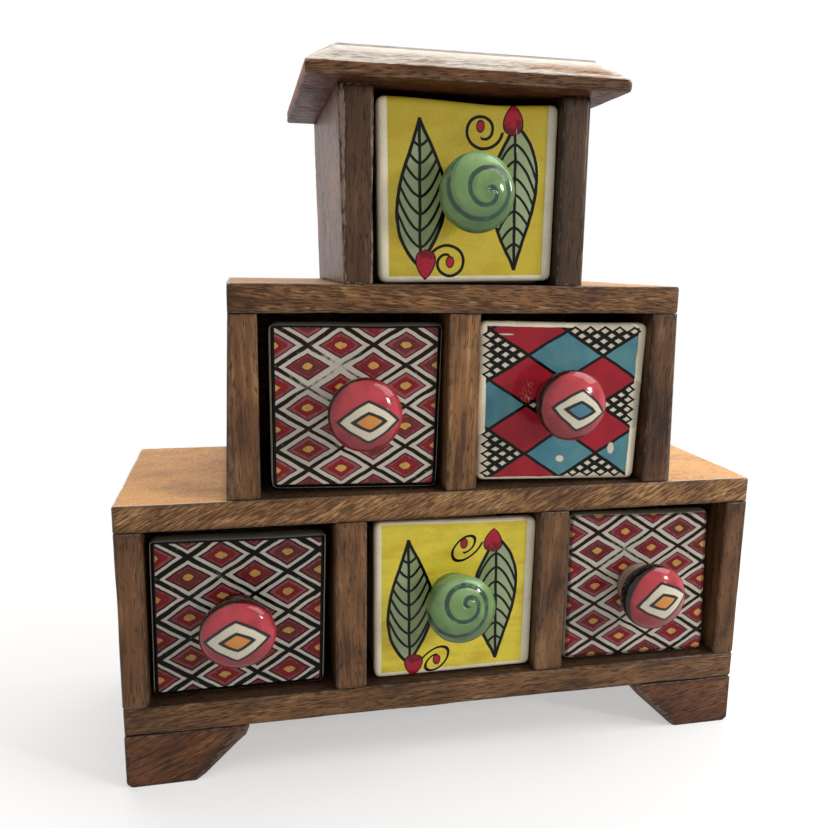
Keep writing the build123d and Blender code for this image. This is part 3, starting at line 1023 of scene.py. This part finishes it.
def even_mesh(piece, grid, smoothing):
    """Gives a piece an even mesh that can be worn."""
    cover = piece.modifiers.new("even mesh", "REMESH")
    cover.mode = "VOXEL"
    cover.voxel_size = grid
    cover.use_smooth_shade = True
    if smoothing:
        soften = piece.modifiers.new("softened edges", "SMOOTH")
        soften.factor = 0.5
        soften.iterations = smoothing


def seeded(place, seed):
    """A place moved by a seed, so that no two pieces are worn alike."""
    return shifted(place, joined(seed, seed * 0.7, seed * 0.3))


def start_shape(name, inputs):
    """A Geometry Nodes tree that takes a mesh, a seed and a finish. Gives its places as well."""
    inputs = {"Geometry": GEOMETRY, **inputs, "Seed": 0.0, "Finish": MATERIAL}
    tree, given, result = start_group(name, "GeometryNodeTree", inputs, {"Geometry": GEOMETRY})
    place = add_node(tree, "GeometryNodeInputPosition")
    return tree, given, result, place, seeded(place, given["Seed"])


LID_QUIRK = 0.001


def worn_board_tree():
    """Geometry Nodes: rubs a box-like wooden piece down along its edges and a little all over."""
    inputs = {
        "Low": VECTOR,
        "High": VECTOR,
        "Edge Reach": 0.004,
        "Edge Wear": 0.0004,
        "Face Wear": 0.00008,
        "Corner Cut": 0.00055,
        "Growth": 0.0,
        "Flare Side": 0.0,
        "Foot Flare": 0.0,
        "Head Flare": 0.0,
        "Crown Foot": 0.0055,
        "Crown Run": 0.0,
    }
    tree, given, result, place, drifted = start_shape("worn board", inputs)
    normal = add_node(tree, "GeometryNodeInputNormal")
    sides = [split(vector) for vector in (place, given["Low"], given["High"])]
    gaps = [least(point - low, high - point) for point, low, high in zip(*sides)]
    near_edge = ramp(middle_of(gaps) / given["Edge Reach"], 0.0, 1.0, 1.0, 0.0)
    long_wave = ramp(noise(drifted, 28.0, 1.0), 0.42, 0.8)
    nick = ramp(noise(drifted, 130.0), 0.55, 0.85)
    plane_mark = noise(drifted, 45.0)
    depth = near_edge * given["Edge Wear"] * (long_wave + nick * 0.8 + 0.1)
    depth = depth + plane_mark * given["Face Wear"]
    (across, _, up), (left, _, bottom), (right, _, top) = sides
    from_middle = (across - (left + right) * 0.5) / (right - left)
    outwards = from_middle * given["Flare Side"] + 0.5
    rise = (up - bottom) / (top - bottom)
    flare = given["Foot Flare"] * (1.0 - rise) + given["Head Flare"] * rise
    squared = joined(*[to_side(*side, given["Corner Cut"]) for side in zip(*sides)])
    inset = (least(across - left, right - across) - LID_QUIRK) / most(given["Crown Run"], LID_QUIRK)
    inset = least(most(inset, 0.0), 1.0)
    flattened = 1.0 - inset ** 0.22 / (2.0 - inset).math("SQRT")
    has_crown = given["Crown Run"].math("GREATER_THAN", 0.0)
    sunk = most(up - bottom - given["Crown Foot"], 0.0) * flattened * has_crown
    grown = joined(outwards * flare * given["Flare Side"], 0.0, (rise * 2 - 1.0) * given["Growth"] - sunk)
    return end_geometry(tree, given, result, shifted(shifted(squared, pushed(normal, -depth)), grown))


def to_side(point, low, high, nearness):
    """The move that puts a point onto a side of its box that it nearly lies on."""
    near_low = (point - low).math("LESS_THAN", nearness)
    near_high = (high - point).math("LESS_THAN", nearness)
    return (low - point) * near_low + (high - point) * near_high


def end_geometry(tree, given, result, offset):
    """Moves every point by an offset, then realizes and finishes the mesh."""
    moved = add_node(tree, "GeometryNodeSetPosition", {"Geometry": given["Geometry"], "Offset": offset})
    real = add_node(tree, "GeometryNodeRealizeInstances", {"Geometry": moved})
    values = {"Geometry": real, "Material": given["Finish"]}
    return end_group(tree, result, {"Geometry": add_node(tree, "GeometryNodeSetMaterial", values)})


MOULDED = "moulded place"


def slumped_front_tree():
    """Geometry Nodes: lets a moulded drawer front sag and lean as it does in the kiln."""
    inputs = {
        "Centre": VECTOR,
        "Half Width": 0.0375,
        "Half Height": 0.0364,
        "Plate": 0.007,
        "Top Dip": 0.001,
        "Dip Place": 0.3,
        "Top Left": NOWHERE,
        "Top Right": NOWHERE,
        "Foot Left": NOWHERE,
        "Foot Right": NOWHERE,
        "Unevenness": 0.0003,
    }
    tree, given, result, place, drifted = start_shape("slumped front", inputs)
    centre = split(given["Centre"])
    across, back, up = [point - middle for point, middle in zip(split(place), centre)]
    across = across / given["Half Width"]
    up = up / given["Half Height"]
    plate = ramp(back / given["Plate"], 1.0, 1.5, 1.0, 0.0)
    dip = ramp(abs(across - given["Dip Place"]), 0.0, 1.1, 1.0, 0.0)
    drop = dip * ramp(up, 0.3, 1.0) * given["Top Dip"]
    top = blend(given["Top Left"], given["Top Right"], across * 0.5 + 0.5)
    foot = blend(given["Foot Left"], given["Foot Right"], across * 0.5 + 0.5)
    lean = blend(foot, top, up * 0.5 + 0.5)
    wander = noises(drifted, 40.0, 1.0)
    inward = (abs(wander[0]) + 0.05) * given["Unevenness"]
    sideways = across * inward * -2 * plate
    fall = -(drop + ramp(up, 0.3, 1.0) * abs(wander[2]) * given["Unevenness"] * 2) * plate
    sink = ramp(back / given["Plate"], 0.0, 0.6, 1.0, 0.0) * (wander[1] + 0.5) * given["Unevenness"]
    values = {"Name": MOULDED, "Value": place, "Geometry": given["Geometry"]}
    given["Geometry"] = add_node(tree, "GeometryNodeStoreNamedAttribute", values, data_type="FLOAT_VECTOR")
    return end_geometry(tree, given, result, shifted(joined(sideways, sink, fall), pushed(lean, plate)))


# Knob, in millimetres out from the drawer's face and away from the knob's axis
KNOB_SEGMENTS = 144
NECK_STEPS = 12
RIM_STEPS = 9
DOME_STEPS = 44
KNOB_REACH = 24.0
KNOB_NECK_LENGTH = 11.0
KNOB_RIM_LENGTH = 6.0
KNOB_CAP_RADIUS = 15.5
KNOB_REAR_RADIUS = 13.4
KNOB_NECK_RADIUS = 8.2
KNOB_FOOT_RADIUS = 10.3
SPIGOT_DEPTH = 3.0
SPIGOT_RADIUS = 7.0


def ring_profile():
    """The knob's outline: distance out from the drawer's face and radius, in millimetres."""
    spigot = [(-SPIGOT_DEPTH, 0.0), (-SPIGOT_DEPTH, SPIGOT_RADIUS), (0.0, SPIGOT_RADIUS)]
    points = spigot + [(0.0, KNOB_FOOT_RADIUS)]
    for index in range(1, NECK_STEPS + 1):
        share = index / NECK_STEPS
        bow = (2 * share - 1) ** 2
        flare = (KNOB_FOOT_RADIUS if share < 0.5 else KNOB_REAR_RADIUS) - KNOB_NECK_RADIUS
        points.append((KNOB_NECK_LENGTH * share, KNOB_NECK_RADIUS + bow * flare))
    widest = KNOB_NECK_LENGTH + KNOB_RIM_LENGTH
    for index in range(1, RIM_STEPS + 1):
        angle = math.pi / 2 * index / RIM_STEPS
        rim = KNOB_REAR_RADIUS + (KNOB_CAP_RADIUS - KNOB_REAR_RADIUS) * math.sin(angle)
        points.append((widest - KNOB_RIM_LENGTH * math.cos(angle), rim))
    for index in range(1, DOME_STEPS):
        angle = math.pi / 2 * index / DOME_STEPS
        dome = (KNOB_REACH - widest) * math.sin(angle)
        points.append((widest + dome, KNOB_CAP_RADIUS * math.cos(angle)))
    points.append((KNOB_REACH, 0.0))
    return points


def turned_knob(name, axis):
    """A knob turned about an axis that starts at the middle of the drawer's face."""
    shell = bmesh.new()
    rings = []
    for reach, radius in ring_profile():
        if radius == 0.0:
            rings.append([shell.verts.new((axis.x, axis.y - reach * MM, axis.z))])
            continue
        ring = []
        for index in range(KNOB_SEGMENTS):
            angle = TURN * index / KNOB_SEGMENTS
            sideways = radius * math.cos(angle) * MM
            upwards = radius * math.sin(angle) * MM
            ring.append(shell.verts.new((axis.x + sideways, axis.y - reach * MM, axis.z + upwards)))
        rings.append(ring)
    for near, far in zip(rings, rings[1:]):
        for index in range(KNOB_SEGMENTS):
            after = (index + 1) % KNOB_SEGMENTS
            if len(near) == 1:
                shell.faces.new((near[0], far[after], far[index]))
            elif len(far) == 1:
                shell.faces.new((near[index], near[after], far[0]))
            else:
                shell.faces.new((near[index], near[after], far[after], far[index]))
    bmesh.ops.recalc_face_normals(shell, faces=shell.faces)
    mesh = bpy.data.meshes.new(name)
    shell.to_mesh(mesh)
    shell.free()
    return add_object(name, mesh)


def hand_made_knob_tree():
    """Geometry Nodes: makes a turned knob a little uneven and presses its spiral in."""
    inputs = {
        "Axis": VECTOR,
        **SPIRAL,
        "Spiral Depth": 0.0,
        "Stretch": NOWHERE,
        "Lean": NOWHERE,
        "Unevenness": 0.0003,
    }
    tree, given, result, place, drifted = start_shape("hand-made knob", inputs)
    normal = add_node(tree, "GeometryNodeInputNormal")
    axis = split(given["Axis"])
    across, depth, up = [(point - middle) * PER_METRE for point, middle in zip(split(place), axis)]
    wander = noises(joined(across, depth, up), 0.12)
    spiral = spiral_mask(across + wander[0] * 0.8, up + wander[2] * 0.8, depth, given)
    rough = noise(drifted, 60.0, 1.0)
    free = above(-depth, 2.0, 1.5)
    inward = spiral * given["Spiral Depth"] + rough * given["Unevenness"] * free
    wide, _, high = split(given["Stretch"])
    stretched = joined(across * wide * MM, 0.0, up * high * MM)
    moved = shifted(pushed(stretched, free), pushed(given["Lean"], ramp(-depth, 2.0, 12.0)))
    return end_geometry(tree, given, result, shifted(moved, pushed(normal, -inward)))


def dress(piece, node):
    """Hands a finished piece over in place of a CAD node."""
    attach(piece, frame["nodes"][node]["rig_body"])
    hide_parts(node)


def cover_node(node, finish):
    """Gives a CAD node that stays its finish."""
    slots = frame["nodes"][node].material_slots
    for place in slots:
        place.material = finish


EDGE_DISTANCE = edge_distance_group()
WOOD_FIGURE = wood_figure_group()
GLAZED_CLAY = glazed_clay_group()
LATTICE_PAINT = lattice_paint_group()
LEAF_PAINT = leaf_paint_group()
DIAMOND_KNOB = diamond_knob_group()
SPIRAL_KNOB = spiral_knob_group()
WORN_BOARD = worn_board_tree()
SLUMPED_FRONT = slumped_front_tree()
HAND_MADE_KNOB = hand_made_knob_tree()

# Stains, as tints of the bare wood; the two darkest, on the top walls, are partly painted shade as well
HONEYED = (1.2, 1.19, 1.14)
PLAIN = (1.0, 0.97, 0.9)
BROWN = (0.84, 0.78, 0.7)
WARM = (0.76, 0.72, 0.7)
DULL = (0.62, 0.56, 0.54)
REDDISH = (0.66, 0.5, 0.47)
DEEP_RED = (0.43, 0.31, 0.27)
SMOKY = (0.4, 0.36, 0.37)
TOP_WALL_SHADE = (0.33, 0.31, 0.34)

# Grain slope in degrees, stain and pores of each wooden piece
WOODEN = {
    "base_board": (4, WARM, 0.45),
    "lower_shelf_board": (28, HONEYED, 0.62),
    "upper_shelf_board": (-4, BROWN, 0.6),
    "lid": (3, (0.54, 0.48, 0.45), 0.5),
    "lower_left_wall": (88, DULL, 0.12),
    "lower_left_divider": (92, WARM, 0.12),
    "lower_right_divider": (87, (0.57, 0.53, 0.53), 0.12),
    "lower_right_wall": (91, DULL, 0.15),
    "middle_left_wall": (93, DULL, 0.12),
    "middle_divider": (88, PLAIN, 0.15),
    "middle_right_wall": (86, SMOKY, 0.2),
    # The top walls' tints are partly painted shade
    "top_left_wall": (91, TOP_WALL_SHADE, 0.2),
    "top_right_wall": (89, (0.235, 0.23, 0.26), 0.1),
    "front_left_foot": (24, REDDISH, 0.4),
    "front_right_foot": (14, DEEP_RED, 0.4),
    "rear_left_foot": (12, REDDISH, 0.4),
    "rear_right_foot": (-14, REDDISH, 0.4),
    "lower_back_panel": (2, WARM, 0.4),
    "middle_back_panel": (-3, WARM, 0.4),
    "top_back_panel": (1, WARM, 0.4),
}

# Wear, tints and painted light that only some pieces have: the lid's crown takes a painted glare and its
# underside painted shade, and the lid takes none of the bays' painted shade
ROSY_SIDE = (2.1, 1.6, 1.4, 1.0)
LID_SIDE = (2.2, 1.1, 1.05, 1.0)
# Painted shade: the lid's underside darker and redder
LID_UNDER_SHADE = (0.92, 0.66, 0.62, 1.0)
WEAR_AND_LIGHT = {
    "lid": {"Crown": 1.0, "Bay Stain": 0.0, "Side Tint": LID_SIDE, "Under Tint": LID_UNDER_SHADE},
    "top_left_wall": {"Arris": 0.4, "Side Tint": ROSY_SIDE},
    "front_left_foot": {"Edge Stain": 0.85},
    "front_right_foot": {"Edge Stain": 0.85},
}

# Shelves whose ledges take painted light: the outer walls of the tier that stands on each, and how strong
# the painted light is
LIT_LEDGES = {
    "lower_shelf_board": ("middle_left_wall", "middle_right_wall", 1.0),
    "upper_shelf_board": ("top_left_wall", "top_right_wall", 0.8),
}

# Walls that flare outwards: their outer side, and how far at the foot and at the head
FLARED = {
    "middle_left_wall": (-1.0, 0.0024, 0.0),
    "middle_right_wall": (1.0, 0.0019, 0.0),
    "top_left_wall": (-1.0, 0.0, 0.0025),
}
BOARD_GRID = 0.00105
PANEL_GROWTH = 0.00045
LID_CROWN_RUN = 0.012


def stand_in(node, suffix):
    return add_object(node + suffix, own_mesh(node))


def make_wood():
    """Every wooden piece, with an even mesh that is rubbed down at its edges."""
    for index, (node, look) in enumerate(WOODEN.items()):
        low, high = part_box(node)
        side, foot_flare, head_flare = FLARED.get(node, (0.0, 0.0, 0.0))
        piece = stand_in(node, "_worn")
        even_mesh(piece, BOARD_GRID, 0)
        work(piece, WORN_BOARD, {
            "Low": low, "High": high, "Seed": float(index),
            "Finish": chest_wood(node, *look, **WEAR_AND_LIGHT.get(node, {})),
            "Flare Side": side, "Foot Flare": foot_flare, "Head Flare": head_flare,
            "Growth": PANEL_GROWTH if "panel" in node else 0.0,
            "Crown Run": LID_CROWN_RUN if node == "lid" else 0.0,
        })
        dress(piece, node)


def moulded_place(tree, place):
    """Millimetres about a place on a front as it was moulded, before it sagged."""
    moulded = add_node(tree, "ShaderNodeAttribute", output="Vector", attribute_name=MOULDED)
    return mapped(moulded, [-axis * PER_METRE for axis in place], size=PER_METRE)


LATTICE, LEAF, HARLEQUIN = "lattice_ceramic", "leaf_ceramic", "harlequin_ceramic"
FRONT_GROUP = {LATTICE: LATTICE_PAINT, LEAF: LEAF_PAINT}
FRONT_GLOSS = {LATTICE: 0.08, LEAF: 0.15, HARLEQUIN: 0.15}


def front_paint(slot, values):
    """A front's paint, whose border follows the front's moulded edge."""
    if slot == HARLEQUIN:
        return harlequin_paint

    def painted(tree, centred, place):
        given = {"Vector": centred, "Moulded": moulded_place(tree, place), **values}
        return colour_and_line(tree, FRONT_GROUP[slot], given)
    return painted


# Drawer fronts: the slot of each, and what its paint has of its own. On lattice fronts the tone dims the
# paint as painted shade, and the smear stands partly for a painted reflection and shadow of the knob.
DRAWER_PAINT = {
    "lower_left": (LATTICE, {
        "Phase X": -21.2, "Phase Z": 0.55, "Height": 18.4,
        "Ink": 0.015, "Ink Color": BRUSH_BLACK, "Tone": 0.72, "Smear": 0.2,
    }),
    "lower_middle": (LEAF, {
        "Yellow": srgb(232, 212, 72), "Field Left": -34.4, "Shift": -0.9, "Drop": 0.3,
        "Bud Shift": 0.3, "Bud Drop": 1.3, "Bud Height": 10.4,
        "Coil Height": -28.6, "Coil Rise": 3.4, "Coil Size": 0.85, "Coil Slant": 0.25,
    }),
    "lower_right": (LATTICE, {
        "Phase X": -22.3, "Phase Z": 1.5, "Tone": 0.88, "Rim": 0.5, "Smear": 0.45,
    }),
    "middle_left": (LATTICE, {"Phase X": -21.0, "Phase Z": 1.1, "Ink": 0.004}),
    "middle_right": (HARLEQUIN, {}),
    "top": (LEAF, {"Yellow": srgb(208, 186, 66), "Field Top": 37.2, "Bud Drop": -1.3}),
}
# Moves of each front's corners in millimetres, sideways and up
CORNERS = ("Top Left", "Top Right", "Foot Left", "Foot Right")
DRAWER_SAG = {
    "lower_left": ((0.7, 0.4), (0.4, -0.3), (-0.2, 1.3), (-1.1, 1.4)),
    "lower_middle": ((-0.2, 2.4), (1.1, 1.2), (0.3, 0.3), (0.4, 0.6)),
    "lower_right": ((0.3, 2.2), (-2.7, 0.6), (0.7, 1.2), (0.2, -0.2)),
    "middle_left": ((0.6, 1.0), (-0.1, 1.0), (0.7, 2.5), (-1.8, 0.5)),
    "middle_right": ((-2.0, 1.4), (2.9, 0.6), (-1.3, 2.6), (0.2, 0.3)),
    "top": ((-1.8, 2.1), (1.7, 2.7), (0.0, 0.0), (1.3, 1.5)),
}
# How far the middle of a front's top edge dips, in millimetres
TOP_DIP = {"top": 1.6}
USUAL_DIP = 0.4
DRAWER_GRID = 0.0012
FIRST_DRAWER_SEED = 3


def front_centre(bay):
    """The middle of a drawer's face."""
    low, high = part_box(bay + "_drawer")
    return Vector(((low.x + high.x) / 2, low.y, (low.z + high.z) / 2))


def knob_seat(bay):
    """Where the knob's axis meets the drawer's face."""
    low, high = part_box(bay + "_knob")
    return Vector(((low.x + high.x) / 2, front_centre(bay).y, (low.z + high.z) / 2))


def make_drawers():
    for seed, bay in enumerate(DRAWERS, FIRST_DRAWER_SEED):
        node = bay + "_drawer"
        centre = front_centre(bay)
        slot, values = DRAWER_PAINT[bay]
        moves = [(aside * MM, 0.0, over * MM) for aside, over in DRAWER_SAG[bay]]
        piece = stand_in(node, "_glazed")
        even_mesh(piece, DRAWER_GRID, 2)
        work(piece, SLUMPED_FRONT, {
            "Centre": centre, "Seed": float(seed),
            "Finish": ceramic(node + "_glaze", centre, front_paint(slot, values), FRONT_GLOSS[slot]),
            "Top Dip": TOP_DIP.get(bay, USUAL_DIP) * MM, **dict(zip(CORNERS, moves)),
        })
        dress(piece, node)


# Diamonds: turn in degrees, moves aside and over in millimetres, and what else differs
DIAMONDS = {
    # The lower left knob's foot is dark brown as painted shade; the lower right one's grey-brown foot is
    # partly painted shade
    "lower_left": (2, -0.3, -0.8, {"Foot": KNOB_RIM, "Wide": 13.9, "High": 9.3}),
    "lower_right": (10, 1.7, 0.0, {
        "Band": BRUSH_BLACK, "Band Depth": -17.6, "Band Slant": 0.17,
        "Foot": srgb(150, 128, 112), "High": 9.8,
    }),
    "middle_left": (1.5, 0.6, -1.7, {}),
    "middle_right": (-6, 1.3, -1.0, {"Gem": GEM_BLUE, "Wide": 12.7, "High": 9.4}),
}
# Spirals: centre, drift, pitch, reach and end
SPIRALS = {
    "top": (4.1, -0.7, -0.21, 0.18, 6.8, 0.0, 14.2),
    "lower_middle": (2.6, 5.0, -0.345, -0.185, 6.1, 1.9, 14.2),
}

KNOB_GLOSS = 0.4

# How far out of round a knob is, and how its cap leans, in metres
KNOB_SHAPE = {
    "top": {"Stretch": (0.0, 0.0, 0.04), "Lean": (0.7 * MM, 0.0, 0.0)},
    "lower_left": {"Stretch": (0.03, 0.0, -0.04), "Lean": (0.0, 0.0, -0.5 * MM)},
}


def knob_paint(bay):
    """The slot and paint of a bay's knob, and the spiral pressed into it."""
    if bay in SPIRALS:
        spiral = dict(zip(SPIRAL, SPIRALS[bay]))
        return "green_knob_ceramic", painted_by(SPIRAL_KNOB, spiral), {"Spiral Depth": 0.3 * MM, **spiral}
    return "red_knob_ceramic", placed_by(*DIAMONDS[bay][:3], DIAMOND_KNOB, DIAMONDS[bay][3]), {}


def make_knobs():
    for index, bay in enumerate(DRAWERS):
        node = bay + "_knob"
        axis = knob_seat(bay)
        slot, painted, pressed = knob_paint(bay)
        piece = turned_knob(node + "_glazed", axis)
        work(piece, HAND_MADE_KNOB, {
            "Axis": axis, "Seed": float(index),
            "Finish": ceramic(node + "_glaze", axis, painted, KNOB_GLOSS),
            **KNOB_SHAPE.get(bay, {}), **pressed,
        })
        dress(piece, node)


def plain_finish(name, colour, metallic, low_gloss, high_gloss):
    """A small part's finish: one colour, clouded, with its gloss varied."""
    finish, tree, shader, position = start_material(name)
    cloud = noise(mapped(position, size=PER_METRE), 0.4, 3.0)
    feed(tree, shader.inputs, {
        "Base Color": brightened(colour, cloud * 0.5 + 0.7),
        "Roughness": ramp(cloud, 0.3, 0.7, low_gloss, high_gloss),
        "Metallic": metallic,
    })
    return finish


def cover_small_parts():
    """Dowels and panel pins keep their CAD shapes."""
    beech = plain_finish("dowel_beech", BEECH, 0.0, 0.5, 0.7)
    steel = plain_finish("pin_steel", STEEL, 1.0, 0.3, 0.55)
    for node in frame["nodes"]:
        if node.endswith("dowels"):
            cover_node(node, beech)
        if node.endswith("pins"):
            cover_node(node, steel)


# Studio: pale floor, soft world, lamps and camera

WORLD_LEVEL = 0.45
RAY_KINDS = ("Camera", "Glossy", "Transmission")


def seen_or_mirrored(tree):
    """One for camera, glossy and transmission rays, and nothing for the rest."""
    rays = tree.nodes.new("ShaderNodeLightPath")
    seen, glossy, through = [Field(tree, rays.outputs[f"Is {kind} Ray"]) for kind in RAY_KINDS]
    return most(most(seen, glossy), through)


def make_world():
    world = bpy.data.worlds.new("soft studio")
    bpy.context.scene.world = world
    world.use_nodes = True
    tree = world.node_tree
    strength = seen_or_mirrored(tree) * (1 - WORLD_LEVEL) + WORLD_LEVEL
    feed(tree, tree.nodes["Background"].inputs, {"Color": WHITE, "Strength": strength})


FLOOR_HALF = 4.0
FLOOR_GLOW = 0.45
FLOOR_GREY = (0.6, 0.6, 0.6, 1.0)
FLOOR_BLACK = (0.0, 0.0, 0.0, 1.0)
SHADOW_NEAR = 190.0
SHADOW_FAR = 420.0


def make_floor():
    """A pale floor that stays white where nothing shades it, and keeps the chest's shadow."""
    mesh = bpy.data.meshes.new("floor")
    corners = [(x * FLOOR_HALF, y * FLOOR_HALF, 0) for x, y in ((-1, -1), (1, -1), (1, 1), (-1, 1))]
    mesh.from_pydata(corners, [], [(0, 1, 2, 3)])
    finish, tree, shader, position = start_material("pale_floor")
    across, along, _ = split(mapped(position, size=PER_METRE))
    fade = ramp(length(across, along), SHADOW_NEAR, SHADOW_FAR) * seen_or_mirrored(tree)
    feed(tree, shader.inputs, {
        "Base Color": paint(FLOOR_GREY, fade, FLOOR_BLACK),
        "Roughness": 0.9,
        "Specular IOR Level": 0.0,
        "Emission Color": WHITE,
        "Emission Strength": seen_or_mirrored(tree) * FLOOR_GLOW + fade * (1.0 - FLOOR_GLOW),
    })
    mesh.materials.append(finish)
    add_object("floor", mesh)


def area_lamp(name, place, target, width, height, watts, colour):
    lamp = bpy.data.lights.new(name, "AREA")
    lamp.shape = "RECTANGLE"
    lamp.size = width
    lamp.size_y = height
    lamp.energy = watts
    lamp.color = colour
    aim = (Vector(target) - Vector(place)).to_track_quat("-Z", "Y")
    add_object(name, lamp).matrix_world = Matrix.Translation(place) @ aim.to_matrix().to_4x4()


def make_lamps():
    area_lamp("window", (0.7, -0.64, 0.42), (0, 0, 0.15), 0.09, 0.13, 2.4, (1.0, 0.98, 0.95))
    area_lamp("skylight", (0.75, -0.2, 0.95), (0, 0, 0.15), 0.8, 0.8, 8.0, (1.0, 0.99, 0.97))
    area_lamp("ceiling", (0.0, 0.55, 1.15), (0, 0, 0.1), 1.4, 0.7, 8.0, (1.0, 0.96, 0.9))


def make_camera():
    camera = bpy.data.cameras.new("camera")
    camera.lens = CAMERA_LENS
    camera.sensor_width = CAMERA_SENSOR
    camera.clip_start = 0.01
    holder = add_object("camera", camera)
    aim = Matrix.Rotation(-CAMERA_HEADING, 4, "Z") @ Matrix.Rotation(math.pi / 2 + CAMERA_TILT, 4, "X")
    holder.matrix_world = Matrix.Translation(CAMERA_PLACE) @ aim @ Matrix.Rotation(CAMERA_ROLL, 4, "Z")
    bpy.context.scene.camera = holder


make_wood()
make_drawers()
make_knobs()
cover_small_parts()
make_world()
make_floor()
make_lamps()
make_camera()
bpy.context.scene.view_settings.view_transform = "Standard"
